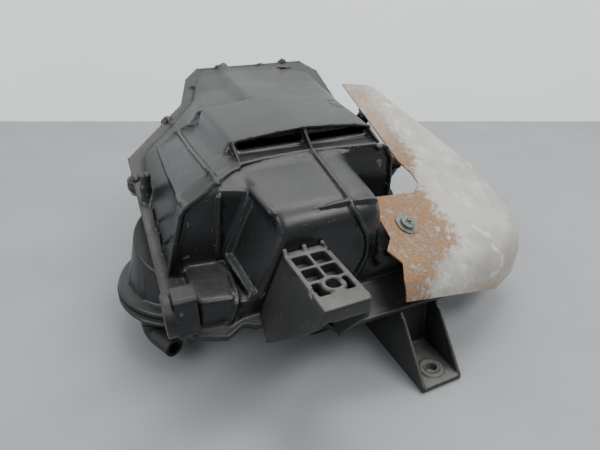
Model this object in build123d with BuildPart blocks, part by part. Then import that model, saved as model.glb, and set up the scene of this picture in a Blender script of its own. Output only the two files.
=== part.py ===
from build123d import *
import math
import os

# Air filter housing, millimetres. +Z is up, +X is the heat shield's side and -Y is the front.
# The origin is on the ground under the middle of the object's box.

# ---------------------------------------------------------------- datum planes
# Plan coordinates run from the housing's datum line, which lies this far left of the origin.
mid_x = 7.5
ground = Plane(origin=(-mid_x, 0, 0), x_dir=(1, 0, 0), z_dir=(0, 0, 1))
front = Plane(origin=(-mid_x, 0, 0), x_dir=(1, 0, 0), z_dir=(0, -1, 0))
side = Plane(origin=(-mid_x, 0, 0), x_dir=(0, 1, 0), z_dir=(1, 0, 0))

# ---------------------------------------------------------------- driving dimensions
wall = 3.0  # moulded walls
flange_t = 3.0  # each half of the parting flange
gap = 0.3  # between the two flanges
rim_tilt = 20.0  # the parting plane rises to the back
rim_y, rim_z = -153.0, 52.0  # front edge of the parting plane

recess_y = -84.0  # wall behind the low column
b_rib_y = -60.0  # rib line across the top
hood_y = -43.0  # front face of the intake hood

neck_x, neck_y = -108.0, -20.0
neck_r_top, neck_r_low = 39.0, 54.0
neck_ring_r, neck_ring_z, neck_ring_t = 65.0, 28.0, 14.0
neck_wall = 3.0
neck_mouth_r = 50.0

pipe_r, pipe_bore = 7.5, 5.0
pipe_z = 16.0
pipe_start = (-151.6, -58.5)
pipe_end = (-139.0, -84.0)
pipe_bend = 8.0

shield_t = 1.2
shield_fix = (45.0, -115.0, 101.0)
shield_dx, shield_dy = -0.2212, 0.474  # slopes of the shield's top face
shield_bend = 26.0

screw_r = 2.2
hole_r = 2.6
lug_r = 7.0
lug_top = 8.0  # the lugs' height above the parting plane

tilt = math.radians(rim_tilt)
rim = Plane(origin=(-mid_x, rim_y, rim_z), x_dir=(1, 0, 0), z_dir=(0, -math.sin(tilt), math.cos(tilt)))
rim_top = rim.offset(gap / 2)
rim_low = rim.offset(-gap / 2)


def on_rim(x, y):
    """Local sketch point on the rim plane that lies under the plan point x, y."""
    return (x, (y - rim_y) / math.cos(tilt))


def rim_points(plan):
    return [on_rim(x, y) for x, y in plan]


# plan outline of the parting flange, anticlockwise from the front right corner
flange_plan = [
    (64, -153),
    (84, 0),
    (95, 152),
    (82, 175),
    (-46, 175),
    (-63, 156),
    (-78, 113),
    (-141, 44),
    (-141, -116),
    (-128, -129),
    (-107, -136),
    (-94, -130),
    (-86, -134),
    (-50, -136),
    (-34, -153),
]
lug_places = [(92, 70), (80, -60), (68, -128), (-140, 20), (-97, 92), (-14, 177), (60, 177)]


def section(y, points, inset=0.0):
    """Closed cross-section of the cover at depth y, from its outline over the top."""
    low = min(points[0][1], points[-1][1]) - 60
    with BuildSketch(front.offset(-y), mode=Mode.PRIVATE) as cut:
        with BuildLine():
            Polyline((points[0][0], low), *points, (points[-1][0], low), close=True)
        make_face()
        if inset:
            offset(amount=-inset, kind=Kind.INTERSECTION)
    return cut.sketch


# cross-sections of the cover: left wall, left shoulder, ridge, step, hood, top, right edge, right wall
front_sections = [
    (recess_y, [(-133, 84), (-117, 131), (-92, 144), (-68, 138), (-52, 136)]),
    (b_rib_y, [(-133, 92), (-115, 135), (-92, 148), (-68, 149), (-52, 149)]),
]
strip_sections = [
    (b_rib_y - 4, [(-133, 92), (-114, 135), (-92, 148), (-76, 149), (48, 148), (60, 142), (62, 92)]),
    (hood_y + 2, [(-133, 98), (-112, 137), (-92, 147), (-76, 151), (50, 149), (61, 142), (64, 98)]),
]
hood_sections = [
    (
        hood_y,
        [(-133, 98), (-112, 137), (-92, 147), (-78, 149), (-70, 161),
         (-10, 165), (50, 159), (61, 147), (64, 98)],
    ),
    (
        -6,
        [(-133, 111), (-113, 135), (-92, 145), (-78, 148), (-71, 163),
         (-9, 167), (56, 160), (67, 150), (70, 111)],
    ),
    (
        46,
        [(-133, 127), (-113, 136), (-92, 142), (-78, 148), (-72, 164),
         (-9, 169), (62, 161), (74, 152), (78, 127)],
    ),
    (
        54,
        [(-125, 131), (-108, 137), (-90, 143), (-74, 158), (-33, 162),
         (-25, 169), (64, 161), (75, 153), (79, 131)],
    ),
    (
        113,
        [(-70, 151), (-67, 155), (-62, 160), (-56, 162), (-31, 165),
         (-22, 171), (74, 163), (82, 158), (85, 151)],
    ),
    (
        158,
        [(-55, 167), (-53, 168), (-50, 170), (-46, 171), (-29, 171),
         (-20, 174), (80, 169), (86, 168), (89, 167)],
    ),
    (
        170,
        [(-48, 170), (-47, 173), (-44, 174), (-40, 175), (-29, 175),
         (-20, 176), (80, 174), (84, 173), (86, 170)],
    ),
]


def cover_body(sections, inset=0.0, reach_front=False, reach_back=False):
    """Ruled loft through cross-sections, drawn in by inset; an inner one may reach into its neighbour."""
    profiles = []
    last = len(sections) - 1
    for index, (y, points) in enumerate(sections):
        shift = 0.0
        if index == 0:
            shift = -4 * inset if reach_front else inset
        if index == last:
            shift = 4 * inset if reach_back else -inset
        profiles.append(section(y + shift, points, inset))
    with BuildPart(mode=Mode.PRIVATE) as body:
        loft(profiles, ruled=True)
    return body.part


def block(plan, top, inset=0.0):
    """Straight-sided block over a plan polygon, cut off by its top plane."""
    with BuildPart(mode=Mode.PRIVATE) as body:
        with BuildSketch(ground):
            with BuildLine():
                Polyline(*plan, close=True)
            make_face()
            if inset:
                offset(amount=-inset, kind=Kind.INTERSECTION)
        extrude(amount=240)
        split(bisect_by=top.offset(-inset), keep=Keep.BOTTOM)
    return body.part


front_top = Plane(origin=(0, -119, 134), x_dir=(1, 0, 0), z_dir=(0, -0.2353, 0.9719))
column_top = Plane(origin=(-123 - mid_x, 0, 88), x_dir=(0.995, 0, -0.1), z_dir=(0.1, 0, 0.995))
facet_top = Plane(origin=(-68 - mid_x, -84, 137), z_dir=Vector(-18, -17, -49).cross(Vector(6, -42, -17)))
pocket_top = ground.offset(90)
base_top = ground.offset(79)
front_plan = [(-62, -126), (20, -126), (20, -50), (-72, -50), (-68, -84)]
column_plan = [(-123, -126), (-96, -128), (-92, -76), (-123, -76)]
facet_plan = [(-95, -126), (-61.9, -126), (-67.9, -84), (-69, -76), (-95, -76)]
pocket_plan = [(16, -126), (57, -126), (60, -58), (16, -58)]
base_plan = [(-123, -126), (57, -126), (60, -45), (-123, -45)]


def rounded_front(inset=0.0):
    """Front block with its large rolled top edge and rounded right corner."""
    with BuildPart(mode=Mode.PRIVATE) as body:
        add(block(front_plan, front_top, inset))
        rolled = body.edges().filter_by(Axis.X).group_by(Axis.Y)[0].sort_by(Axis.Z)[-1:]
        fillet(rolled, 22 - inset)
        corner = body.edges().filter_by(Axis.Z).group_by(Axis.Y)[0].sort_by(Axis.X)[-1:]
        fillet(corner, 16 - inset)
    return body.part


def cover_mass(inset=0.0):
    """The cover's moulded volumes, as a list of overlapping solids."""
    return [
        cover_body(front_sections, inset, reach_back=True),
        cover_body(strip_sections, inset, reach_back=True),
        cover_body(hood_sections, inset),
        rounded_front(inset),
        block(column_plan, column_top, inset),
        block(facet_plan, facet_top, inset),
        block(pocket_plan, pocket_top, inset),
        block(base_plan, base_top, inset),
    ]


def rim_disc(places, radius, low, high):
    """Round posts that stand square on the parting plane, from height low to height high."""
    with BuildPart(mode=Mode.PRIVATE) as posts:
        with BuildSketch(rim.offset(low)):
            with Locations(*rim_points(places)):
                Circle(radius)
        extrude(amount=high - low)
    return posts.part


def rim_plate(plan, low, high):
    """Flat plate over a plan outline, between two heights square to the parting plane."""
    with BuildPart(mode=Mode.PRIVATE) as plate:
        with BuildSketch(rim.offset(low)):
            with BuildLine():
                Polyline(*rim_points(plan), close=True)
            make_face()
        extrude(amount=high - low)
    return plate.part


# the shield's top face and its fixing points
shield_top = Plane(
    origin=(shield_fix[0] - mid_x, shield_fix[1], shield_fix[2]),
    x_dir=(1, 0, shield_dx),
    z_dir=Vector(-shield_dx, -shield_dy, 1),
)
shield_rear_places = [(86, -42), (88, 18)]


def shield_height(x, y):
    """Height of the shield's outer face over the plan point x, y."""
    return shield_fix[2] + shield_dx * (x - shield_fix[0]) + shield_dy * (y - shield_fix[1])


shield_points = []
for place in [shield_fix[:2], *shield_rear_places]:
    local = shield_top.to_local_coords(Vector(place[0] - mid_x, place[1], shield_height(*place)))
    shield_points.append((local.X, local.Y))


def shield_posts(radius, low, high, bore=0.0, points=None):
    """Round pieces square to the shield at its fixing points."""
    with BuildPart(mode=Mode.PRIVATE) as posts:
        with BuildSketch(shield_top.offset(low)):
            with Locations(*(points or shield_points)):
                Circle(radius)
                if bore:
                    Circle(bore, mode=Mode.SUBTRACT)
        extrude(amount=high - low)
    return posts.part


def shield_towers():
    """Screw towers on the cover that carry the shield's spacers."""
    with BuildPart(mode=Mode.PRIVATE) as towers:
        add(shield_posts(7.0, -80, -6.05))
        split(bisect_by=rim.offset(gap / 2 + 1), keep=Keep.TOP)
        for solid in cover_mass(wall / 2):
            add(solid, mode=Mode.SUBTRACT)
    return towers.part


os.makedirs("parts", exist_ok=True)

# ---------------------------------------------------------------- upper cover
cover_low = gap / 2
slot_left = [(-65, 153.2), (-12, 152.6), (-12, 160.6), (-65, 157.4)]
slot_right = [(-8, 152.6), (46, 151.6), (46, 156), (-8, 160.6)]

with BuildPart() as upper_cover:
    for solid in cover_mass():
        add(solid)
    split(bisect_by=rim_top, keep=Keep.TOP)
    add(rim_plate(flange_plan, cover_low, cover_low + flange_t))
    add(rim_disc(lug_places, lug_r, cover_low, cover_low + flange_t))
    add(rim_disc(lug_places, lug_r - 2, cover_low, lug_top))
    for solid in cover_mass(wall):
        add(solid, mode=Mode.SUBTRACT)
    add(rim_disc(lug_places, hole_r, cover_low - 1, lug_top - 2), mode=Mode.SUBTRACT)
    add(shield_towers())
    add(shield_posts(2.8, -18, 0), mode=Mode.SUBTRACT)
    with BuildSketch(front.offset(-hood_y + 6)):
        for outline in (slot_left, slot_right):
            with BuildLine():
                Polyline(*outline, close=True)
            make_face()
    extrude(amount=-12, mode=Mode.SUBTRACT)
upper_cover.part.label = "upper_cover"
export_step(upper_cover.part, "parts/upper_cover.step")

# ---------------------------------------------------------------- lower housing
bowl_plan = [(52, -141), (85, 158), (76, 166), (-42, 166), (-54, 152), (-62, 80), (-40, 46), (-40, -141)]
tray_plan = [(-133, -118), (-37, -118), (-37, 86), (-80, 96), (-133, 41)]
tray_depth = 17.0
bowl_front = Plane(origin=(0, -141, 50), x_dir=(1, 0, 0), z_dir=(0, -50, -56))
ledge_z = -13.0
port_y, port_z, port_r = neck_y, 60.0, 20.0
filter_plan = [(-35, -126), (48, -126), (78.5, 150), (-35, 150)]
filter_rim_w = 10.0


def bowl_volume(inset=0.0):
    """The deep bowl with its sloping front."""
    with BuildPart(mode=Mode.PRIVATE) as bowl:
        with BuildSketch(ground.offset(inset)):
            with BuildLine():
                Polyline(*bowl_plan, close=True)
            make_face()
            if inset:
                offset(amount=-inset, kind=Kind.INTERSECTION)
        extrude(amount=200)
        split(bisect_by=bowl_front.offset(-inset), keep=Keep.BOTTOM)
    return bowl.part


def tray_volume(inset=0.0):
    """The shallow left end over the neck."""
    with BuildPart(mode=Mode.PRIVATE) as tray:
        with BuildSketch(ground):
            with BuildLine():
                Polyline(*tray_plan, close=True)
            make_face()
            if inset:
                offset(amount=-inset, kind=Kind.INTERSECTION)
        extrude(amount=200)
        split(bisect_by=rim.offset(inset - tray_depth), keep=Keep.TOP)
    return tray.part


with BuildPart() as lower_housing:
    add(tray_volume())
    add(tray_volume(wall), mode=Mode.SUBTRACT)
    add(bowl_volume())
    split(bisect_by=rim_low, keep=Keep.BOTTOM)
    add(rim_plate(flange_plan, -gap / 2 - flange_t, -gap / 2))
    add(rim_disc(lug_places, lug_r, -8, -gap / 2))
    add(tray_volume(wall), mode=Mode.SUBTRACT)
    add(bowl_volume(wall), mode=Mode.SUBTRACT)
    with BuildPart(mode=Mode.PRIVATE) as ledge:
        add(rim_plate(bowl_plan, ledge_z, ledge_z + wall))
        with BuildSketch(rim.offset(ledge_z)):
            with BuildLine():
                Polyline(*rim_points(filter_plan), close=True)
            make_face()
            offset(amount=-8.5, kind=Kind.INTERSECTION)
        extrude(amount=wall, mode=Mode.SUBTRACT)
    add(ledge.part.intersect(bowl_volume(wall / 2)))
    add(rim_disc(lug_places, hole_r, -9, 1), mode=Mode.SUBTRACT)
    with BuildSketch(side.offset(-50)):
        with Locations((port_y, port_z)):
            Circle(port_r - neck_wall)
    extrude(amount=20, mode=Mode.SUBTRACT)
lower_housing.part.label = "lower_housing"
export_step(lower_housing.part, "parts/lower_housing.step")

# ---------------------------------------------------------------- cover screws, driven from below
with BuildPart() as cover_screws:
    add(rim_disc(lug_places, screw_r, -8, lug_top - 2.5))
    add(rim_disc(lug_places, 5.2, -12, -8))
cover_screws.part.label = "cover_screws"
export_step(cover_screws.part, "parts/cover_screws.step")

# ---------------------------------------------------------------- filter element
pleat_pitch, pleat_t = 8.0, 0.9
pleat_low, pleat_high = -33.0, -5.0
with BuildPart() as filter_seal:
    with BuildSketch(rim.offset(ledge_z + wall + 0.3)):
        with BuildLine():
            Polyline(*rim_points(filter_plan), close=True)
        make_face()
        offset(amount=-filter_rim_w, kind=Kind.INTERSECTION, mode=Mode.SUBTRACT)
    extrude(amount=7.5)
filter_seal.part.label = "filter_seal"
export_step(filter_seal.part, "parts/filter_seal.step")


def zigzag(first, last):
    """Upper and lower edge of the folded paper, seen from the side."""
    upper = []
    count = int((last - first) / pleat_pitch)
    for index in range(2 * count + 1):
        height = pleat_high if index % 2 else pleat_low
        upper.append((first + index * pleat_pitch / 2, height))
    lower = [(y, z - 2 * pleat_t) for y, z in reversed(upper)]
    return upper + lower


pleat_first = on_rim(0, -126)[1] + filter_rim_w + 1
pleat_last = on_rim(0, 150)[1] - filter_rim_w - 1
side_view = Plane(origin=(-60 - mid_x, rim_y, rim_z), x_dir=rim.y_dir, z_dir=(1, 0, 0))
with BuildPart() as filter_pleats:
    with BuildSketch(side_view):
        with BuildLine():
            Polyline(*zigzag(pleat_first, pleat_last), close=True)
        make_face()
    extrude(amount=160)
    with BuildSketch(rim.offset(-40)):
        with BuildLine():
            Polyline(*rim_points(filter_plan), close=True)
        make_face()
        offset(amount=-filter_rim_w - 0.05, kind=Kind.INTERSECTION)
    extrude(amount=60, mode=Mode.INTERSECT)
filter_pleats.part.label = "filter_pleats"
export_step(filter_pleats.part, "parts/filter_pleats.step")

# ---------------------------------------------------------------- outlet neck under the left end
neck_top = rim.offset(-tray_depth - 0.05)
neck_height = 80.0


def neck_cone(inset=0.0, low=0.0):
    """Tapered drum, its profile turned about the neck's axis."""
    top_r = neck_r_low - (neck_r_low - neck_r_top) * neck_height / 58
    with BuildPart(mode=Mode.PRIVATE) as cone:
        with BuildSketch(Plane(origin=(neck_x - mid_x, neck_y, 0), x_dir=(1, 0, 0), z_dir=(0, -1, 0))):
            with BuildLine():
                Polyline(
                    (0, neck_ring_z + low),
                    (neck_r_low + 2 - inset, neck_ring_z + low),
                    (neck_r_low - inset, neck_ring_z + neck_ring_t),
                    (top_r - inset, neck_ring_z + neck_ring_t + neck_height),
                    (0, neck_ring_z + neck_ring_t + neck_height),
                    close=True,
                )
            make_face()
        revolve(axis=Axis((neck_x - mid_x, neck_y, 0), (0, 0, 1)))
    return cone.part


with BuildPart() as outlet_neck:
    add(neck_cone())
    with BuildSketch(Plane(origin=(neck_x - mid_x, neck_y, 0), x_dir=(1, 0, 0), z_dir=(0, -1, 0))):
        with BuildLine():
            Polyline(
                (40, neck_ring_z),
                (neck_ring_r - 2, neck_ring_z),
                (neck_ring_r, neck_ring_z + 3),
                (neck_ring_r, neck_ring_z + 5),
                (neck_ring_r - 3, neck_ring_z + 6),
                (neck_ring_r - 3, neck_ring_z + 9),
                (neck_ring_r - 1, neck_ring_z + 10),
                (neck_ring_r - 3, neck_ring_z + neck_ring_t),
                (40, neck_ring_z + neck_ring_t),
                close=True,
            )
        make_face()
    revolve(axis=Axis((neck_x - mid_x, neck_y, 0), (0, 0, 1)))
    with BuildSketch(side.offset(neck_x)):
        with Locations((port_y, port_z)):
            Circle(port_r)
    extrude(amount=-40.05 - neck_x)
    split(bisect_by=neck_top, keep=Keep.BOTTOM)
    with BuildPart(mode=Mode.PRIVATE) as neck_inside:
        add(neck_cone(neck_wall, neck_ring_t - 0.1))
        split(bisect_by=neck_top.offset(-neck_wall), keep=Keep.BOTTOM)
    add(neck_inside.part, mode=Mode.SUBTRACT)
    with BuildSketch(ground.offset(neck_ring_z)):
        with Locations((neck_x, neck_y)):
            Circle(neck_mouth_r)
    extrude(amount=neck_ring_t, mode=Mode.SUBTRACT)
    with BuildSketch(side.offset(neck_x)):
        with Locations((port_y, port_z)):
            Circle(port_r - neck_wall)
    extrude(amount=-40 - neck_x, mode=Mode.SUBTRACT)
    with BuildSketch(ground.offset(neck_ring_z)):
        with Locations(pipe_start):
            Circle(pipe_r)
    extrude(amount=4)
    with BuildSketch(ground.offset(neck_ring_z)):
        with Locations(pipe_start):
            Circle(pipe_bore - 0.05)
            Circle(pipe_bore - 1.6, mode=Mode.SUBTRACT)
    extrude(amount=-5)
outlet_neck.part.label = "outlet_neck"
export_step(outlet_neck.part, "parts/outlet_neck.step")

with BuildPart() as neck_seal:
    with BuildSketch(ground.offset(neck_ring_z + 6.1)):
        with Locations((neck_x, neck_y)):
            Circle(neck_ring_r - 0.6)
            Circle(neck_ring_r - 2.95, mode=Mode.SUBTRACT)
    extrude(amount=2.8)
neck_seal.part.label = "neck_seal"
export_step(neck_seal.part, "parts/neck_seal.step")

# ---------------------------------------------------------------- breather elbow under the neck ring
def breather(radius, low, high):
    """Elbow that drops from the ring and turns to the front, as a swept tube."""
    with BuildPart(mode=Mode.PRIVATE) as elbow:
        with BuildLine(ground):
            FilletPolyline(
                (pipe_start[0], pipe_start[1], high),
                (pipe_start[0], pipe_start[1], pipe_z),
                (pipe_end[0], pipe_end[1], pipe_z),
                radius=pipe_bend,
            )
        with BuildSketch(Plane(origin=(pipe_start[0] - mid_x, pipe_start[1], high), z_dir=(0, 0, -1))):
            Circle(radius)
            if low:
                Circle(low, mode=Mode.SUBTRACT)
        sweep()
    return elbow.part


with BuildPart() as breather_elbow:
    add(breather(pipe_r, pipe_bore, neck_ring_z))
breather_elbow.part.label = "breather_elbow"
export_step(breather_elbow.part, "parts/breather_elbow.step")

# ---------------------------------------------------------------- mounting foot
foot_left, foot_right = 21.0, 57.0
foot_front = -189.0
foot_web = 3.0
hole_place = (39, -175)
foot_side = [(foot_front, 0), (-88, 0), (-142, 48), (-151.5, 48.5), (-154, 45), (-187, 6), (foot_front, 4)]
with BuildPart() as mounting_foot:
    with BuildSketch(side.offset(foot_left)):
        with BuildLine():
            Polyline(*foot_side, close=True)
        make_face()
    extrude(amount=foot_right - foot_left)
    with BuildSketch(side.offset(foot_left + foot_web)):
        with BuildLine():
            Polyline((-200, 5), (-146, 5), (-140, 60), (-200, 60), close=True)
        make_face()
        with BuildLine():
            Polyline((-142, -1), (-80, -1), (-132, 46), (-137, 46), close=True)
        make_face()
    extrude(amount=foot_right - foot_left - 2 * foot_web, mode=Mode.SUBTRACT)
    with BuildSketch(ground.offset(5)):
        with Locations(hole_place):
            Circle(9)
    extrude(amount=1.5)
    with BuildSketch(ground):
        with Locations(hole_place):
            SlotOverall(12, 9)
    extrude(amount=10, mode=Mode.SUBTRACT)
    split(bisect_by=rim.offset(-gap / 2 - flange_t - 0.05), keep=Keep.BOTTOM)
mounting_foot.part.label = "mounting_foot"
export_step(mounting_foot.part, "parts/mounting_foot.step")

# ---------------------------------------------------------------- mounting bracket on the cover's front
bracket_left, bracket_right = -63.0, -33.0
bracket_front, bracket_back = -189.0, -126.05
bracket_z, bracket_t = 110.0, 11.0
bracket_hole = (-47, -168)


def bracket_web(lean, outline):
    """Side plate of the bracket, a band in XZ cut to its side outline; lean spreads its foot to the left."""
    edge = bracket_left if lean else bracket_right - wall
    foot = edge - 29 * lean
    with BuildPart(mode=Mode.PRIVATE) as web:
        with BuildSketch(front.offset(-bracket_back)):
            with BuildLine():
                Polyline((edge, 110), (edge + wall, 110), (foot + wall, 40), (foot, 40), close=True)
            make_face()
        extrude(amount=bracket_back - bracket_front)
        with BuildSketch(side.offset(-120)):
            with BuildLine():
                Polyline(*outline, close=True)
            make_face()
        extrude(amount=120, mode=Mode.INTERSECT)
    return web.part


with BuildPart() as mounting_bracket:
    with BuildSketch(ground.offset(bracket_z - bracket_t)):
        with BuildLine():
            Polyline(
                (bracket_left, bracket_front),
                (bracket_right, bracket_front),
                (bracket_right, bracket_back),
                (bracket_left, bracket_back),
                close=True,
            )
        make_face()
    extrude(amount=bracket_t)
    pockets = GridLocations(13.5, 15, 2, 3, align=(Align.CENTER, Align.MIN))
    with BuildSketch(Plane(origin=(-48 - mid_x, -176, bracket_z - bracket_t + 3))):
        with pockets:
            Rectangle(11, 12.4, align=(Align.CENTER, Align.MIN))
    extrude(amount=bracket_t, mode=Mode.SUBTRACT)
    with BuildSketch(ground.offset(bracket_z - bracket_t)):
        with Locations(bracket_hole):
            Circle(8.5)
    extrude(amount=bracket_t - 1)
    with BuildSketch(ground.offset(bracket_z - bracket_t)):
        with Locations(bracket_hole):
            Circle(4.5)
    extrude(amount=bracket_t, mode=Mode.SUBTRACT)
    upright = [(-189, 96), (-183, 88), (-160, 56), (-160, 40), (-120, 40), (-120, 111), (-189, 111)]
    add(bracket_web(0.0, upright))
    leaning = [(-189, 98), (-176, 83), (-146, 55), (-130, 45), (-120, 45), (-120, 111), (-189, 111)]
    add(bracket_web(1.0, leaning))
    split(bisect_by=rim.offset(cover_low + flange_t + 0.05), keep=Keep.TOP)
mounting_bracket.part.label = "mounting_bracket"
export_step(mounting_bracket.part, "parts/mounting_bracket.step")

# ---------------------------------------------------------------- heat shield
shield_low = Plane(origin=(15 - mid_x, -158, 71), x_dir=(1, 0, -0.37), z_dir=Vector(0.37, -shield_dy, 1))
shield_block = [(-40, -169.5), (125, -147), (170, -126), (188, -92), (188, -35), (126, 75), (-40, 75)]
shield_trim = [
    (16, -170),
    (200, -170),
    (200, -30),
    (132, 58),
    (75, 50),
    (80, -50),
    (86, -62),
    (86, -74),
    (74, -84),
    (30, -90),
    (23, -98),
    (23, -126),
    (14, -136),
    (21, -146),
    (16, -156),
]


def shield_volume(inset=0.0):
    """Blank of the pressed shield: a plan block under the sloping top, with soft bends."""
    with BuildPart(mode=Mode.PRIVATE) as blank:
        add(block(shield_block, shield_top, inset))
        corners = blank.edges().filter_by(Axis.Z).sort_by(Axis.X)[-3:]
        fillet(corners, 24 - inset)
        upper = blank.faces().sort_by(Axis.Z)[-1]
        rolled = [e for e in upper.edges() if e.center().X > 12 and e.center().Y < 60]
        fillet(rolled, shield_bend - inset)
    return blank.part


with BuildPart() as heat_shield:
    add(shield_volume())
    add(shield_volume(shield_t), mode=Mode.SUBTRACT)
    split(bisect_by=shield_low, keep=Keep.TOP)
    with BuildSketch(ground):
        with BuildLine():
            Polyline(*shield_trim, close=True)
        make_face()
    extrude(amount=260, mode=Mode.INTERSECT)
    with BuildSketch(shield_top.offset(-5)):
        with Locations(shield_points[0]):
            Circle(3.0)
    extrude(amount=10, mode=Mode.SUBTRACT)
heat_shield.part.label = "heat_shield"
export_step(heat_shield.part, "parts/heat_shield.step")

# ---------------------------------------------------------------- shield spacers, front screw and rear studs
with BuildPart() as shield_spacers:
    add(shield_posts(8.0, -6, -shield_t - 0.05, bore=3.0))
shield_spacers.part.label = "shield_spacers"
export_step(shield_spacers.part, "parts/shield_spacers.step")

with BuildPart() as shield_washer:
    add(shield_posts(9.5, 0.05, 1.25, bore=2.6, points=shield_points[:1]))
shield_washer.part.label = "shield_washer"
export_step(shield_washer.part, "parts/shield_washer.step")

with BuildPart() as shield_screw:
    add(shield_posts(2.5, -16, 1.3, points=shield_points[:1]))
    add(shield_posts(6.0, 1.3, 3.6, points=shield_points[:1]))
    with BuildSketch(shield_top.offset(3.6)):
        with Locations(shield_points[0]):
            Rectangle(6, 1.2)
            Rectangle(1.2, 6)
    extrude(amount=-1.4, mode=Mode.SUBTRACT)
shield_screw.part.label = "shield_screw"
export_step(shield_screw.part, "parts/shield_screw.step")

with BuildPart() as shield_studs:
    add(shield_posts(2.5, -16, -shield_t - 0.05, points=shield_points[1:]))
shield_studs.part.label = "shield_studs"
export_step(shield_studs.part, "parts/shield_studs.step")

# ---------------------------------------------------------------- vacuum valve at the front left corner
valve_y, valve_z = -125.0, 83.0
valve_right = -123.05
valve_r = 14.5
with BuildPart() as valve_body:
    with BuildSketch(side.offset(valve_right)):
        with Locations((valve_y, valve_z)):
            RectangleRounded(19, 31, 4)
    extrude(amount=-14)
    split(bisect_by=rim.offset(gap / 2 + flange_t + 0.05), keep=Keep.TOP)
valve_body.part.label = "valve_body"
export_step(valve_body.part, "parts/valve_body.step")

with BuildPart() as valve_seal:
    with BuildSketch(side.offset(valve_right - 14.05)):
        with Locations((valve_y, valve_z)):
            Circle(valve_r - 1.5)
            Circle(valve_r - 5, mode=Mode.SUBTRACT)
    extrude(amount=-1.5)
valve_seal.part.label = "valve_seal"
export_step(valve_seal.part, "parts/valve_seal.step")

with BuildPart() as valve_cap:
    with BuildSketch(side.offset(valve_right - 15.6)):
        with Locations((valve_y, valve_z)):
            Circle(valve_r)
    extrude(amount=-5)
    fillet(valve_cap.edges().group_by(Axis.X)[0], 1.5)
valve_cap.part.label = "valve_cap"
export_step(valve_cap.part, "parts/valve_cap.step")

# ---------------------------------------------------------------- steel sleeve in the foot's slot
with BuildPart() as foot_sleeve:
    with BuildSketch(ground):
        with Locations(hole_place):
            SlotOverall(11.9, 8.9)
            SlotOverall(9.9, 6.9, mode=Mode.SUBTRACT)
    extrude(amount=6.5)
foot_sleeve.part.label = "foot_sleeve"
export_step(foot_sleeve.part, "parts/foot_sleeve.step")
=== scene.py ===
import math

import bpy
import numpy as np
import openvdb
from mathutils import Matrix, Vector
from mathutils.bvhtree import BVHTree


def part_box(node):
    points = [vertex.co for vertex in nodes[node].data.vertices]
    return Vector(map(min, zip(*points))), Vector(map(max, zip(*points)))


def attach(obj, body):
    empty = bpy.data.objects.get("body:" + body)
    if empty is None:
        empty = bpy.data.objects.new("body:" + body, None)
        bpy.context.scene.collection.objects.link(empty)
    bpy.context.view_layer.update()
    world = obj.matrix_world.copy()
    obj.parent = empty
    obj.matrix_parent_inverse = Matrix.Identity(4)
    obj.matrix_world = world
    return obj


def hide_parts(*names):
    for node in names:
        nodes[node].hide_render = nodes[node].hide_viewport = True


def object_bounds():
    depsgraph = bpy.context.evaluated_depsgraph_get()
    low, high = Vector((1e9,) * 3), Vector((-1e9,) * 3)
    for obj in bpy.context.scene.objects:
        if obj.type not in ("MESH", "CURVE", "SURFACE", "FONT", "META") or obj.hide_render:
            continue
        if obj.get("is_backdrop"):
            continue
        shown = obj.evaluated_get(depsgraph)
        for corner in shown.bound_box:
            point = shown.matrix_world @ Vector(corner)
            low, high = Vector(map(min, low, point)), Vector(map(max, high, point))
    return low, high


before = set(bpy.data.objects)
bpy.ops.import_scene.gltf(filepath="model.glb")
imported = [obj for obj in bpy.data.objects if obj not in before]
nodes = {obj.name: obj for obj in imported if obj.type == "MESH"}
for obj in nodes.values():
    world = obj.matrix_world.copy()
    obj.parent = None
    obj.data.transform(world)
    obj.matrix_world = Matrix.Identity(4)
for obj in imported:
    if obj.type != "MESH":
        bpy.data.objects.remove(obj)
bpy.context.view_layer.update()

MM = 0.001
# lengths below are in mm and x runs from the housing's datum line, which lies 7.5 mm left of the origin
datum = np.array((7.5, 0.0, 0.0))
rim_point = np.array((0.0, -153.0, 52.0))  # front edge of the parting plane, mm
rim_tilt = math.radians(20.0)
gap = 0.3  # between the two flanges, mm
flange_t = 3.0
FAR = 12.0  # distance given to empty space, mm
MERGE = 0.02  # how freely near-flat faces are joined when a field is meshed


def rim_height(y):
    """Height of the parting plane at depth y, mm."""
    return rim_point[2] + (y - rim_point[1]) * math.tan(rim_tilt)


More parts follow.
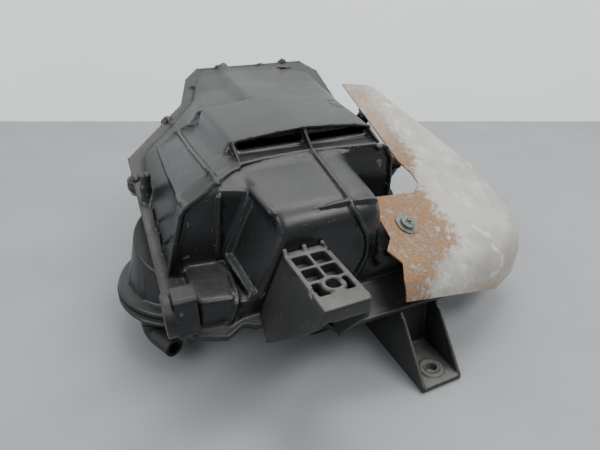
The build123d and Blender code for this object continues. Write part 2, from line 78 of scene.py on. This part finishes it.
# ------------------------------------------------------------------ distance fields, in mm, negative inside
class Field:
    """A block of space sampled on a regular grid."""

    def __init__(self, low, high, step):
        self.step = step
        self.low = np.array(low, float)
        counts = [int(math.ceil((b - a) / step)) + 1 for a, b in zip(low, high)]
        self.x, self.y, self.z = (a + step * np.arange(n) for a, n in zip(self.low, counts))
        self.d = np.full(counts, FAR, np.float32)

    def window(self, low, high):
        """Slices of the grid that cover a box, and the box's coordinates."""
        spans = []
        for axis, a, b in zip((self.x, self.y, self.z), low, high):
            spans.append(slice(np.searchsorted(axis, a), np.searchsorted(axis, b)))
        cut = tuple(spans)
        coords = np.meshgrid(self.x[cut[0]], self.y[cut[1]], self.z[cut[2]], indexing="ij", sparse=True)
        return cut, coords

    def join(self, cut, other, soft):
        """Adds a distance to part of the field, with a soft seam."""
        here = self.d[cut]
        overlap = np.clip(soft - np.abs(here - other), 0, None)
        self.d[cut] = np.minimum(here, other) - overlap * overlap / (4 * soft)

    def carve(self, cut, other, soft):
        """Takes a distance out of part of the field, with a soft edge."""
        here = self.d[cut]
        overlap = np.clip(soft - np.abs(here + other), 0, None)
        self.d[cut] = np.maximum(here, -other) + overlap * overlap / (4 * soft)

    def bead(self, points, radius, soft=1.6, carve=False):
        """A round bead along a path, radius fixed or one for each point."""
        radii = np.full(len(points), float(radius)) if np.isscalar(radius) else np.array(radius, float)
        for a, b, ra, rb in zip(points[:-1], points[1:], radii[:-1], radii[1:]):
            a, b = np.array(a, float), np.array(b, float)
            reach = max(ra, rb) + soft + self.step
            cut, (x, y, z) = self.window(np.minimum(a, b) - reach, np.maximum(a, b) + reach)
            along = b - a
            length = max(float(along @ along), 1e-9)
            t = ((x - a[0]) * along[0] + (y - a[1]) * along[1] + (z - a[2]) * along[2]) / length
            t = np.clip(t, 0, 1)
            across = (x - a[0] - t * along[0]) ** 2
            across = across + (y - a[1] - t * along[1]) ** 2 + (z - a[2] - t * along[2]) ** 2
            distance = np.sqrt(across) - (ra + t * (rb - ra))
            (self.carve if carve else self.join)(cut, distance, soft)

    def slab(self, centre, half, turn=None, corner=1.0, soft=1.2, carve=False):
        """A rounded box; turn holds its three axes as rows."""
        centre, half = np.array(centre, float), np.array(half, float)
        turn = np.eye(3) if turn is None else np.array(turn, float)
        reach = np.abs(turn.T) @ half + soft + self.step
        cut, (x, y, z) = self.window(centre - reach, centre + reach)
        sides = []
        for row, size in zip(turn, half):
            away = (x - centre[0]) * row[0] + (y - centre[1]) * row[1] + (z - centre[2]) * row[2]
            sides.append(np.abs(away) - (size - corner))
        outside = np.sqrt(sum(np.clip(s, 0, None) ** 2 for s in sides))
        inside = np.minimum(np.maximum(np.maximum(sides[0], sides[1]), sides[2]), 0)
        (self.carve if carve else self.join)(cut, outside + inside - corner, soft)

    def mesh(self, name):
        """The field's zero surface as a Blender object, in metres."""
        grid = openvdb.FloatGrid(FAR)
        grid.copyFromArray(np.ascontiguousarray(self.d))
        points, triangles, quads = grid.convertToPolygons(isovalue=0.0, adaptivity=MERGE)
        points = (points * self.step + self.low - datum) * MM
        data = bpy.data.meshes.new(name)
        faces = [tuple(int(i) for i in f[::-1]) for f in list(triangles) + list(quads)]
        data.from_pydata([tuple(p) for p in points.tolist()], [], faces)
        data.validate()
        data.shade_smooth()
        piece = bpy.data.objects.new(name, data)
        bpy.context.scene.collection.objects.link(piece)
        return piece


def blur(values, sigma):
    """Gaussian blur along all three axes, sigma in grid steps."""
    reach = int(math.ceil(2.6 * sigma))
    weights = np.exp(-0.5 * (np.arange(-reach, reach + 1) / sigma) ** 2)
    weights = (weights / weights.sum()).astype(np.float32)
    for axis in range(3):
        padding = [(0, 0)] * 3
        padding[axis] = (reach, reach)
        padded = np.pad(values, padding, mode="edge")
        total = np.zeros_like(values)
        span = [slice(None)] * 3
        for index, weight in enumerate(weights):
            span[axis] = slice(index, index + values.shape[axis])
            total += weight * padded[tuple(span)]
        values = total
    return values


def to_distance(filled, sigma):
    """Distance from a blurred filling, whose flat faces have the profile of an error function."""
    away = np.linspace(-3, 3, 241) * sigma
    filling = np.array([0.5 * (1 + math.erf(-a / (sigma * math.sqrt(2)))) for a in away])
    return np.interp(filled, filling[::-1], away[::-1]).astype(np.float32)


def surface(node):
    """A CAD node's corners in mm, and its faces."""
    data = nodes[node].data
    return np.array([v.co for v in data.vertices]) / MM + datum, [tuple(p.vertices) for p in data.polygons]


def rounded_copy(node, step, sigma):
    """Field of a CAD node with its edges and corners softened."""
    points, faces = surface(node)
    field = Field(points.min(0) - 5 * step, points.max(0) + 5 * step, step)
    grid = openvdb.FloatGrid.createLevelSetFromPolygons(
        np.ascontiguousarray((points - field.low) / step, dtype=np.float32),
        triangles=np.array([f for f in faces if len(f) == 3], np.uint32).reshape(-1, 3),
        quads=np.array([f for f in faces if len(f) == 4], np.uint32).reshape(-1, 4),
        halfWidth=4.0,
    )
    grid.copyToArray(field.d)
    field.d = blur(field.d * step, sigma / step)
    return field


def heights(tree, field, start, way, shift):
    """Height of the first surface met from above or below, over each column of the grid."""
    found = np.full((len(field.x), len(field.y)), np.nan)
    direction = Vector((0, 0, way))
    for i, x in enumerate(field.x):
        for j, y in enumerate(field.y):
            hit = tree.ray_cast(Vector((x + shift[0], y + shift[1], start)), direction)[0]
            if hit is not None:
                found[i, j] = hit.z
    return found


def moulded_shell(node, step, up, round_edges):
    """Softened copy of a thin moulded tray or cover that opens onto the parting plane."""
    points, faces = surface(node)
    field = Field(points.min(0) - 7, points.max(0) + 7, step)
    tree = BVHTree.FromPolygons([Vector(p) for p in points], faces)
    z = field.z[None, None, :]
    edge = rim_height(field.y)[None, :, None] + up * gap / 2 / math.cos(rim_tilt)
    plate = up * flange_t / math.cos(rim_tilt)
    body = np.zeros_like(field.d)
    flange = np.zeros_like(field.d)
    room = np.zeros_like(field.d)
    offsets = [(-0.25, -0.25), (0.25, -0.25), (-0.25, 0.25), (0.25, 0.25)]
    for dx, dy in offsets:
        shift = (dx * step, dy * step)
        outer = heights(tree, field, field.z[-1] if up > 0 else field.z[0], -up, shift)[:, :, None]
        inner = heights(tree, field, field.z[0] if up > 0 else field.z[-1], up, shift)[:, :, None]
        there = np.isfinite(outer)
        proud = there & (up * (np.nan_to_num(outer) - edge) > 5.0)
        above = np.clip(up * (z - edge) / step + 0.5, 0, 1)
        under = np.clip(up * (np.nan_to_num(outer) - z) / step + 0.5, 0, 1)
        body += np.where(proud, above * under, 0).astype(np.float32) / 4
        under = np.clip(up * (edge + plate - z) / step + 0.5, 0, 1)
        flange += np.where(there, above * under, 0).astype(np.float32) / 4
        open_in = there & (up * (np.nan_to_num(inner) - edge) > 1.0)
        under = np.clip(up * (np.nan_to_num(inner) - z) / step + 0.5, 0, 1)
        room += np.where(open_in, under, 0).astype(np.float32) / 4
    everything = (slice(None),) * 3
    field.d = to_distance(blur(flange, 1.1 / step), 1.1)
    field.join(everything, to_distance(blur(body, round_edges / step), round_edges), 2.5)
    return field, tree, to_distance(blur(room, 1.2 / step), 1.2)


def close_to(tree, points, spacing=2.0, lift=0.0):
    """A path over the surface through the given points, mm."""
    path = []
    for a, b in zip(points[:-1], points[1:]):
        a, b = Vector(a), Vector(b)
        count = max(1, int((b - a).length / spacing))
        path += [a.lerp(b, k / count) for k in range(count)]
    path.append(Vector(points[-1]))
    laid = []
    for p in path:
        spot, normal, _, _ = tree.find_nearest(p)
        laid.append(tuple(spot + normal * lift))
    return laid


# ------------------------------------------------------------------ materials
def material(name):
    made = bpy.data.materials.new(name)
    made.use_nodes = True
    tree = made.node_tree
    return made, tree, tree.nodes["Principled BSDF"]


def wire(tree, a, b):
    tree.links.new(a, b)


def noise(tree, scale, detail=4.0, rough=0.55, stretch=None):
    """Noise in object space, scale in cells a metre; returns its value socket."""
    coords = tree.nodes.new("ShaderNodeTexCoord")
    source = coords.outputs["Object"]
    if stretch:
        mapping = tree.nodes.new("ShaderNodeMapping")
        mapping.inputs["Scale"].default_value = stretch
        mapping.inputs["Rotation"].default_value = (0.3, 0.2, 0.6)
        wire(tree, source, mapping.inputs["Vector"])
        source = mapping.outputs["Vector"]
    node = tree.nodes.new("ShaderNodeTexNoise")
    node.inputs["Scale"].default_value = scale
    node.inputs["Detail"].default_value = detail
    node.inputs["Roughness"].default_value = rough
    wire(tree, source, node.inputs["Vector"])
    return node.outputs["Fac"]


def ramp(tree, value, low, high, a=0.0, b=1.0, smooth=True):
    """Maps a value from low..high to a..b."""
    node = tree.nodes.new("ShaderNodeMapRange")
    node.interpolation_type = "SMOOTHSTEP" if smooth else "LINEAR"
    for key, number in zip(("From Min", "From Max", "To Min", "To Max"), (low, high, a, b)):
        node.inputs[key].default_value = number
    wire(tree, value, node.inputs["Value"])
    return node.outputs["Result"]


def math_node(tree, kind, a, b):
    node = tree.nodes.new("ShaderNodeMath")
    node.operation = kind
    for socket, value in zip(node.inputs, (a, b)):
        if isinstance(value, (int, float)):
            socket.default_value = value
        else:
            wire(tree, value, socket)
    return node.outputs[0]


def mix(tree, factor, a, b):
    """Colour a to colour b by a factor."""
    node = tree.nodes.new("ShaderNodeMix")
    node.data_type = "RGBA"
    wire(tree, factor, node.inputs["Factor"])
    for key, colour in ((6, a), (7, b)):
        if isinstance(colour, tuple):
            node.inputs[key].default_value = (*colour, 1)
        else:
            wire(tree, colour, node.inputs[key])
    return node.outputs[2]


def bump(tree, shader, layers):
    """Stacks bumps: (height socket, depth in metres)."""
    last = None
    for height, depth in layers:
        node = tree.nodes.new("ShaderNodeBump")
        node.inputs["Strength"].default_value = 1.0
        node.inputs["Distance"].default_value = depth
        wire(tree, height, node.inputs["Height"])
        if last:
            wire(tree, last, node.inputs["Normal"])
        last = node.outputs["Normal"]
    wire(tree, last, shader.inputs["Normal"])


def upward(tree):
    """How far a face looks up, 0 to 1."""
    geometry = tree.nodes.new("ShaderNodeNewGeometry")
    split = tree.nodes.new("ShaderNodeSeparateXYZ")
    wire(tree, geometry.outputs["Normal"], split.inputs["Vector"])
    return split.outputs["Z"]


def plastic(name, dark, dust, rough, dusty=0.75, grain=0.00006):
    """Moulded black plastic: fine grain, settled dust, scuffs and scratches."""
    made, tree, shader = material(name)
    cloud = noise(tree, 22, 5, 0.6)
    fine = noise(tree, 260, 4, 0.65)
    facing_up = ramp(tree, upward(tree), 0.25, 0.98)
    settled = math_node(tree, "MULTIPLY", facing_up, ramp(tree, cloud, 0.3, 0.68, 0.45, 1.0))
    settled = math_node(tree, "MULTIPLY", settled, ramp(tree, fine, 0.3, 0.7, 0.7, 1.0))
    base = mix(tree, ramp(tree, cloud, 0.35, 0.7), dark, tuple(c * 1.35 for c in dark))
    colour = mix(tree, math_node(tree, "MULTIPLY", settled, dusty), base, dust)
    scratch = noise(tree, 90, 2, 0.5, (1.0, 14.0, 1.0))
    scratch = ramp(tree, scratch, 0.70, 0.74)
    speck = ramp(tree, noise(tree, 420, 2, 0.5), 0.70, 0.76)
    scuffed = math_node(tree, "MULTIPLY", scratch, 0.28)
    worn = math_node(tree, "MAXIMUM", scuffed, math_node(tree, "MULTIPLY", speck, 0.35))
    colour = mix(tree, worn, colour, (0.30, 0.30, 0.29))
    wire(tree, colour, shader.inputs["Base Color"])
    dull = math_node(tree, "ADD", settled, math_node(tree, "MULTIPLY", fine, 0.3))
    wire(tree, ramp(tree, dull, 0.1, 1.1, rough, rough + 0.2), shader.inputs["Roughness"])
    shader.inputs["Specular IOR Level"].default_value = 0.5
    waves, pores = noise(tree, 30, 3, 0.5), noise(tree, 1500, 2, 0.5)
    bump(tree, shader, [(waves, 0.0004), (pores, grain), (scratch, 0.00003)])
    return made


def paint_mark(made, spot, size, colour):
    """A small dab of paint on a material, about a point in metres."""
    tree = made.node_tree
    shader = tree.nodes["Principled BSDF"]
    coords = tree.nodes.new("ShaderNodeTexCoord")
    distance = tree.nodes.new("ShaderNodeVectorMath")
    distance.operation = "DISTANCE"
    distance.inputs[1].default_value = spot
    wire(tree, coords.outputs["Object"], distance.inputs[0])
    uneven = math_node(tree, "MULTIPLY", noise(tree, 300), 0.004)
    wobble = math_node(tree, "ADD", distance.outputs["Value"], uneven)
    factor = ramp(tree, wobble, size + 0.0025, size + 0.0015)
    before = shader.inputs["Base Color"].links[0].from_socket
    wire(tree, mix(tree, factor, before, colour), shader.inputs["Base Color"])


def shield_metal(name):
    """Aluminised sheet, pale and blotched, rusting from its left and lower front edges."""
    made, tree, shader = material(name)
    coords = tree.nodes.new("ShaderNodeTexCoord")
    split = tree.nodes.new("ShaderNodeSeparateXYZ")
    wire(tree, coords.outputs["Object"], split.inputs["Vector"])
    x, y, z = (split.outputs[k] for k in "XYZ")
    cloud = noise(tree, 26, 6, 0.62)
    fine = noise(tree, 170, 6, 0.7)
    grain = noise(tree, 700, 3, 0.6)
    # the rust covers the tab round the screw, narrows to the front and thins out along the left edge
    at_tab = ramp(tree, y, -0.07, -0.04, 0.0755, 0.092)
    limit = math_node(tree, "ADD", at_tab, ramp(tree, y, -0.125, -0.17, 0.0, -0.056))
    ragged = math_node(tree, "SUBTRACT", x, limit)
    for pattern, depth in ((cloud, -0.04), (fine, -0.045)):
        sway = math_node(tree, "MULTIPLY", math_node(tree, "SUBTRACT", pattern, 0.5), depth)
        ragged = math_node(tree, "ADD", ragged, sway)
    strip = ramp(tree, ragged, 0.010, -0.006)
    strip = math_node(tree, "MULTIPLY", strip, ramp(tree, y, 0.02, -0.06, 0.55, 1.0))
    sway = math_node(tree, "MULTIPLY", math_node(tree, "SUBTRACT", fine, 0.5), 0.06)
    lower = math_node(tree, "ADD", z, sway)
    lower = math_node(tree, "MULTIPLY", ramp(tree, lower, 0.066, 0.036), ramp(tree, x, 0.19, 0.09))
    far_edge = math_node(tree, "MULTIPLY", ramp(tree, z, 0.135, 0.165), ramp(tree, cloud, 0.5, 0.62))
    rest = math_node(tree, "MAXIMUM", math_node(tree, "MULTIPLY", lower, 0.7), far_edge)
    rust = math_node(tree, "MAXIMUM", strip, rest)
    rust = math_node(tree, "MULTIPLY", rust, ramp(tree, fine, 0.30, 0.56, 0.35, 1.0))
    spots = ramp(tree, noise(tree, 95, 3, 0.6), 0.66, 0.74)
    rust = math_node(tree, "MAXIMUM", rust, math_node(tree, "MULTIPLY", spots, 0.3))
    pale = mix(tree, ramp(tree, cloud, 0.36, 0.62), (0.43, 0.405, 0.36), (0.56, 0.545, 0.50))
    pale = mix(tree, ramp(tree, noise(tree, 60, 5, 0.7), 0.55, 0.63), pale, (0.66, 0.65, 0.61))
    pale = mix(tree, ramp(tree, grain, 0.60, 0.72, 0.0, 0.5), pale, (0.33, 0.30, 0.26))
    brown = mix(tree, ramp(tree, fine, 0.36, 0.62), (0.15, 0.068, 0.03), (0.36, 0.19, 0.085))
    brown = mix(tree, ramp(tree, grain, 0.5, 0.7), brown, (0.45, 0.31, 0.19))
    wire(tree, mix(tree, rust, pale, brown), shader.inputs["Base Color"])
    wire(tree, ramp(tree, rust, 0.0, 0.8, 0.46, 0.88), shader.inputs["Roughness"])
    wire(tree, ramp(tree, rust, 0.0, 0.6, 0.25, 0.0), shader.inputs["Metallic"])
    dents, flaking = noise(tree, 16, 2, 0.5), math_node(tree, "MULTIPLY", fine, rust)
    bump(tree, shader, [(dents, 0.0016), (flaking, 0.0009), (grain, 0.00022)])
    return made


def metal(name, colour, rough, metallic=0.9):
    """Dull plated steel with tarnish in cloudy patches."""
    made, tree, shader = material(name)
    cloud = noise(tree, 120, 5, 0.65)
    tarnish = tuple(c * 0.55 for c in colour)
    wire(tree, mix(tree, ramp(tree, cloud, 0.35, 0.68), colour, tarnish), shader.inputs["Base Color"])
    wire(tree, ramp(tree, cloud, 0.3, 0.7, rough, rough + 0.25), shader.inputs["Roughness"])
    shader.inputs["Metallic"].default_value = metallic
    bump(tree, shader, [(noise(tree, 900, 3, 0.6), 0.00006)])
    return made


def soft(name, colour, rough, scale=500, depth=0.0001):
    """Rubber, fibre or paper: one hue, mottled, with a fine surface."""
    made, tree, shader = material(name)
    cloud = noise(tree, 40, 4, 0.6)
    paler = tuple(min(1, c * 1.4) for c in colour)
    wire(tree, mix(tree, ramp(tree, cloud, 0.3, 0.7), colour, paler), shader.inputs["Base Color"])
    wire(tree, ramp(tree, noise(tree, scale, 3), 0.3, 0.7, rough, rough + 0.12), shader.inputs["Roughness"])
    bump(tree, shader, [(noise(tree, scale, 4, 0.6), depth)])
    return made


charcoal = (0.0095, 0.0098, 0.0105)
pale_dust = (0.062, 0.062, 0.060)
cover_plastic = plastic("cover_plastic", charcoal, pale_dust, 0.27)
base_plastic = plastic("base_plastic", charcoal, pale_dust, 0.33, 0.6)
bracket_plastic = plastic("bracket_plastic", (0.018, 0.018, 0.018), (0.17, 0.165, 0.15), 0.42, 1.0)
valve_plastic = plastic("valve_plastic", (0.007, 0.007, 0.0075), (0.06, 0.06, 0.058), 0.3, 0.7)
cap_low, cap_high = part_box("valve_cap")
mark_spot = (cap_low.x, (cap_low.y + cap_high.y) / 2 - 0.006, cap_low.z + 0.003)
paint_mark(valve_plastic, mark_spot, 0.0028, (0.45, 0.42, 0.03))
sheet_steel = shield_metal("sheet_steel")
# dark colour for the shield's inner face: painted shade under the sheet
shield_inside_painted_shade = soft("shield_inside_painted_shade", (0.030, 0.026, 0.022), 0.8, 300, 0.0003)
zinc = metal("zinc", (0.25, 0.265, 0.235), 0.45, 0.7)
fibre = soft("fibre", (0.20, 0.15, 0.10), 0.8)
rubber = soft("rubber", (0.014, 0.014, 0.014), 0.55)
foam = soft("foam", (0.16, 0.06, 0.025), 0.75, 700, 0.0003)
paper = soft("paper", (0.30, 0.26, 0.19), 0.85, 900, 0.0001)


def dress(piece, made):
    piece.data.materials.clear()
    piece.data.materials.append(made)


for names, made in (
    (("upper_cover",), cover_plastic),
    (("lower_housing", "outlet_neck"), base_plastic),
    (("mounting_bracket", "mounting_foot"), bracket_plastic),
    (("valve_body", "valve_cap"), valve_plastic),
    (("heat_shield",), sheet_steel),
    (("shield_screw", "shield_washer", "shield_studs", "cover_screws", "foot_sleeve"), zinc),
    (("shield_spacers",), fibre),
    (("neck_seal", "breather_elbow", "valve_seal"), rubber),
    (("filter_seal",), foam),
    (("filter_pleats",), paper),
):
    for name in names:
        dress(nodes[name], made)

# ------------------------------------------------------------------ upper cover
cover, cover_tree, cover_room = moulded_shell("upper_cover", 1.15, 1, 2.3)

# ribs that stand on the cover, each a path of points on its surface
top_rib = [
    (-91, -77, 145), (-82, -69, 147), (-72, -63, 148), (-52, -59, 149),
    (-28, -57, 149), (-9, -57, 149), (16, -59, 149), (37, -62, 148),
    (55, -63, 145),
]
side_rib = [(55, -63, 145), (60, -64, 136), (62, -64, 122), (61, -64, 108), (60, -64, 92)]
long_rib = [
    (-9, -57, 149), (-9, -82, 143), (-9, -102, 138), (-9, -114, 134),
    (-8, -121, 128), (-4, -126, 119), (1, -126, 110), (3, -126, 100),
    (2, -126, 90), (-4, -126, 78), (-12, -126, 68),
]
cross_rib = [(-36, -117, 132), (-22, -117, 133), (-9, -117, 133), (2, -118, 132), (14, -118, 130)]
left_rib = [
    (-93, 58, 142), (-93, -2, 144), (-92, -52, 147), (-91, -77, 145),
    (-92, -84, 138), (-94, -84, 120), (-95, -84, 106), (-97, -84, 90),
]
column_rib = [
    (-97, -86, 87), (-95, -96, 86), (-93, -108, 86), (-94, -120, 85),
    (-97, -127, 80), (-101, -127, 70), (-104, -127, 62),
]
recess_rib = [
    (-91, -77, 145), (-102, -81, 140), (-114, -82, 133), (-121, -84, 122),
    (-127, -84, 106), (-133, -84, 84),
]
shoulder_rib = [
    (-76, 48, 150), (-93, 58, 143), (-108, 50, 137), (-114, 44, 136),
    (-116, 20, 136), (-118, -20, 134), (-118, -60, 133), (-114, -82, 133),
]
for path in (top_rib, side_rib, long_rib, left_rib, recess_rib):
    cover.bead(close_to(cover_tree, path, lift=0.8), 1.6, 1.2)
for path in (column_rib, shoulder_rib):
    cover.bead(close_to(cover_tree, path, lift=0.4), 1.3, 1.4)
crossing = close_to(cover_tree, cross_rib, lift=0.7)
cover.bead(crossing, np.interp(np.arange(len(crossing)), [0, 8, len(crossing) - 1], [0.2, 1.5, 1.5]), 1.2)

# soft creases down the pocket's corner, along the facet and along the low column
for path, radius in (
    ([(-68, -85, 138), (-76, -84, 121), (-84, -84, 103), (-90, -84, 90)], 1.6),
    ([(-68, -85, 138), (-66, -98, 135), (-63, -112, 133)], 1.8),
):
    cover.bead(close_to(cover_tree, path), radius, 3.0)
cover.bead(close_to(cover_tree, [(-91, -86, 90), (-89, -98, 87), (-86, -110, 82), (-84, -122, 78)]), 2.4, 2.5)

# hood lip: a rolled bead along the intake slots, gussets beside and between them
lip = [
    (-70, -43, 160), (-54, -43.5, 162), (-32, -43.5, 164), (-10, -43.5, 165),
    (12, -43.5, 163.5), (34, -43.5, 161.5), (50, -43.5, 158),
]
cover.bead(lip, 1.7, 1.5)
sill = [(-68, -43, 152.2), (-10, -43, 151.8), (50, -43, 150.8)]
cover.bead(sill, 1.2, 1.5)
for x, top, low in ((-69, 160, 149.5), (-10, 164, 149.5), (50, 157, 149)):
    for k in range(5):
        y = -44 - 3.2 * k
        height = low + (top - low) * (1 - k / 5)
        cover.bead([(x, y, low), (x, y, height - 1)], 1.1, 1.0)
    cover.bead([(x, -44, top - 1), (x, -60, low + 0.5)], 1.3, 1.0)

# ledges, marks and nubs
step_edge = [(-74, 55, 157), (-50, 52, 161), (-33, 53, 162), (-27, 54, 167)]
cover.bead(close_to(cover_tree, step_edge), 1.4, 2.2)
oval = [(56 + 9 * math.cos(a), 22 + 13 * math.sin(a), 161) for a in np.linspace(0, 2 * math.pi, 25)]
cover.bead(close_to(cover_tree, oval), 0.9, 1.0, carve=True)
for spot in ((-24, 172, 176), (28, 172, 176), (-60, 140, 162)):
    cover.bead(close_to(cover_tree, [spot, (spot[0] + 4, spot[1], spot[2])]), 2.6, 2.0)

# a half-round flute and three upright webs on the left wall
cover.bead([(-132, -4, 128), (-134, -6, 118), (-134, -8, 106)], 4.0, 3.0)
for y in (-60, -36, 14):
    cover.bead([(-133, y, rim_height(y) + 3), (-133, y, min(rim_height(y) + 20, 120))], 1.2, 1.5)

# turned-up lip round the flange
plan = [
    (64, -153), (84, 0), (95, 152), (82, 175), (-46, 175),
    (-63, 156), (-78, 113), (-141, 44), (-141, -116), (-128, -129),
    (-107, -136), (-94, -130), (-86, -134), (-50, -136), (-34, -153),
]
lip_line = [(x, y, rim_height(y) + 3.4) for x, y in plan + plan[:1]]
cover.bead(lip_line, 0.9, 1.0)

cover.d = np.maximum(cover.d, -cover_room)
for x0, x1, z0, z1 in ((-65, -12, 153.2, 159.3), (-8, 46, 152.2, 158.0)):
    middle = ((x0 + x1) / 2, -43, (z0 + z1) / 2)
    half = ((x1 - x0) / 2, 9, (z1 - z0) / 2)
    cover.slab(middle, half, corner=1.5, soft=0.8, carve=True)


def stand_in(field, name, node, body, made):
    """Puts a softened shell in place of its CAD node."""
    piece = field.mesh(name)
    dress(piece, made)
    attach(piece, body)
    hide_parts(node)
    return piece


stand_in(cover, "cover_shell", "upper_cover", "cover", cover_plastic)

# ------------------------------------------------------ lower housing, outlet neck, bracket and foot
bowl = rounded_copy("lower_housing", 1.3, 0.9)
for y in (-60, 0, 60, 120):
    x = 52 + 33 * (y + 141) / 299
    bowl.bead([(x, y, 6), (x, y, rim_height(y) - 6)], 1.3, 1.5)
for x in (-20, 10, 40):
    bowl.bead([(x, 166, 6), (x, 166, rim_height(166) - 6)], 1.3, 1.5)
for y in (-100, 30, 90, 140):
    bowl.bead([(-34 if y > 0 else -28, y, 0.6), (60 if y > 0 else 44, y, 0.6)], 1.0, 1.2)
stand_in(bowl, "bowl_shell", "lower_housing", "base", base_plastic)

neck = rounded_copy("outlet_neck", 1.2, 0.8)
for k in range(10):
    a = math.radians(100 + 28 * k)
    c, q = math.cos(a), math.sin(a)
    neck.bead([(-108 + 53.5 * c, -20 + 53.5 * q, 43), (-108 + 48 * c, -20 + 48 * q, 62)], [1.6, 0.9], 1.2)
stand_in(neck, "neck_shell", "outlet_neck", "base", base_plastic)

bracket = rounded_copy("mounting_bracket", 0.7, 0.45)
for x, y, size in ((-62, -127.5, 1.8), (-48, -127.5, 1.9), (-34.5, -127.5, 1.7)):
    bracket.bead([(x, y - 3, 109), (x, y, 112)], size, 1.0)
boss = [(-47 + 6.4 * math.cos(a), -168 + 6.4 * math.sin(a), 109) for a in np.linspace(0.5, 5.6, 22)]
bracket.bead(boss, 1.5, 0.8)
for path in (
    [(-63, -150, 109.5), (-62.6, -140, 108), (-63, -131, 109.5)],
    [(-33.2, -186, 109.6), (-33.2, -160, 109.3), (-33.2, -130, 109.6)],
):
    bracket.bead(path, 0.8, 1.0)
# chipped edges
for a, b, size in (
    ((-60, -189, 100), (-57, -190, 98), 1.5),
    ((-62.5, -172, 108), (-61, -168, 110), 1.2),
    ((-36, -130, 110.5), (-33, -134, 110), 1.3),
):
    bracket.bead([a, b], size, 0.8, carve=True)
stand_in(bracket, "bracket_shell", "mounting_bracket", "cover", bracket_plastic)

foot = rounded_copy("mounting_foot", 0.7, 0.5)
ring = [(39 + 8.6 * math.cos(a), -175 + 8.0 * math.sin(a), 5.2) for a in np.linspace(0, 2 * math.pi, 25)]
foot.bead(ring, 1.1, 1.2)
for x in (22.5, 55.5):
    foot.bead([(x, -187, 5.6), (x, -155, 44.5)], 1.0, 1.0)
stand_in(foot, "foot_shell", "mounting_foot", "base", bracket_plastic)

# ------------------------------------------------------------------ heat shield, its inner face painted dark as shade
shield_low, shield_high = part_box("heat_shield")
hollow = Vector(((shield_low.x + shield_high.x) / 2, (shield_low.y + shield_high.y) / 2, shield_low.z))
shield_data = nodes["heat_shield"].data.copy()
shield_data.name = "shield_sheet"
shield_sheet = bpy.data.objects.new("shield_sheet", shield_data)
bpy.context.scene.collection.objects.link(shield_sheet)
dress(shield_sheet, sheet_steel)
# faces that look into the hollow under the shield get this painted-shade material
shield_data.materials.append(shield_inside_painted_shade)
for face in shield_data.polygons:
    if (face.center - hollow).dot(face.normal) < 0:
        face.material_index = 1
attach(shield_sheet, "cover")
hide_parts("heat_shield")

# ------------------------------------------------------------------ floor, backdrop, light and camera
def flat(name, corners, made):
    data = bpy.data.meshes.new(name)
    data.from_pydata(corners, [], [(0, 1, 2, 3)])
    piece = bpy.data.objects.new(name, data)
    bpy.context.scene.collection.objects.link(piece)
    dress(piece, made)
    piece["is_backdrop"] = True
    return piece


heading = math.radians(24)
ahead = Vector((math.sin(heading), math.cos(heading), 0))
aside = Vector((math.cos(heading), -math.sin(heading), 0))
eye = Vector((-0.1575, -0.350, 0.270))
floor_made, floor_tree, floor_shader = material("table")
clouded = ramp(floor_tree, noise(floor_tree, 9, 5), 0.3, 0.7)
grey = mix(floor_tree, clouded, (0.33, 0.34, 0.35), (0.37, 0.38, 0.39))
wire(floor_tree, grey, floor_shader.inputs["Base Color"])
floor_shader.inputs["Roughness"].default_value = 0.5
wall_made, wall_tree, wall_shader = material("wall")
clouded = ramp(wall_tree, noise(wall_tree, 3, 3), 0.3, 0.7)
off_white = mix(wall_tree, clouded, (0.80, 0.82, 0.82), (0.84, 0.86, 0.86))
wire(wall_tree, off_white, wall_shader.inputs["Base Color"])
wall_shader.inputs["Roughness"].default_value = 0.8
wall_shader.inputs["Emission Color"].default_value = (0.95, 0.98, 1.0, 1)
wall_shader.inputs["Emission Strength"].default_value = 0.45
near, far = -1.6, 0.905  # ends of the table, ahead of the eye, m
side = 2.2  # half the width of the table and the wall, m
wall_top = 1.8
under_eye = eye.xy.to_3d()
back = under_eye + ahead * far
table_plan = ((near, -side), (near, side), (far, side), (far, -side))
wall_plan = ((-side, 0), (side, 0), (side, wall_top), (-side, wall_top))
flat("table", [tuple(under_eye + ahead * d + aside * w) for d, w in table_plan], floor_made)
flat("wall", [tuple(back + aside * w + Vector((0, 0, h))) for w, h in wall_plan], wall_made)


def lamp(name, place, target, size, power, colour=(1, 1, 1)):
    data = bpy.data.lights.new(name, "AREA")
    data.shape = "RECTANGLE"
    data.size, data.size_y = size
    data.energy = power
    data.color = colour
    piece = bpy.data.objects.new(name, data)
    piece.location = place
    piece.rotation_euler = (Vector(target) - Vector(place)).to_track_quat("-Z", "Y").to_euler()
    bpy.context.scene.collection.objects.link(piece)


lamp("key", (0.35, 0.45, 1.25), (0, 0, 0.05), (1.0, 0.7), 17, (1, 0.99, 0.97))
lamp("left", (-1.2, -0.2, 0.8), (0, 0, 0.1), (0.8, 0.8), 8, (0.96, 0.98, 1))
lamp("front", (0.46, -0.65, 1.03), (0, 0, 0.1), (0.8, 0.35), 8)
world = bpy.data.worlds.new("studio")
bpy.context.scene.world = world
world.use_nodes = True
world.node_tree.nodes["Background"].inputs["Color"].default_value = (0.93, 0.97, 1.0, 1)
world.node_tree.nodes["Background"].inputs["Strength"].default_value = 0.42

camera_data = bpy.data.cameras.new("camera")
camera_data.sensor_width = 36.0
camera_data.lens = 36.0 * 436 / 600
camera_data.clip_start = 0.01
camera = bpy.data.objects.new("camera", camera_data)
camera.location = eye
pitch = math.radians(30)
look = ahead * math.cos(pitch) - Vector((0, 0, math.sin(pitch)))
camera.rotation_euler = look.to_track_quat("-Z", "Y").to_euler()
bpy.context.scene.collection.objects.link(camera)
bpy.context.scene.camera = camera

low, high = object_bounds()
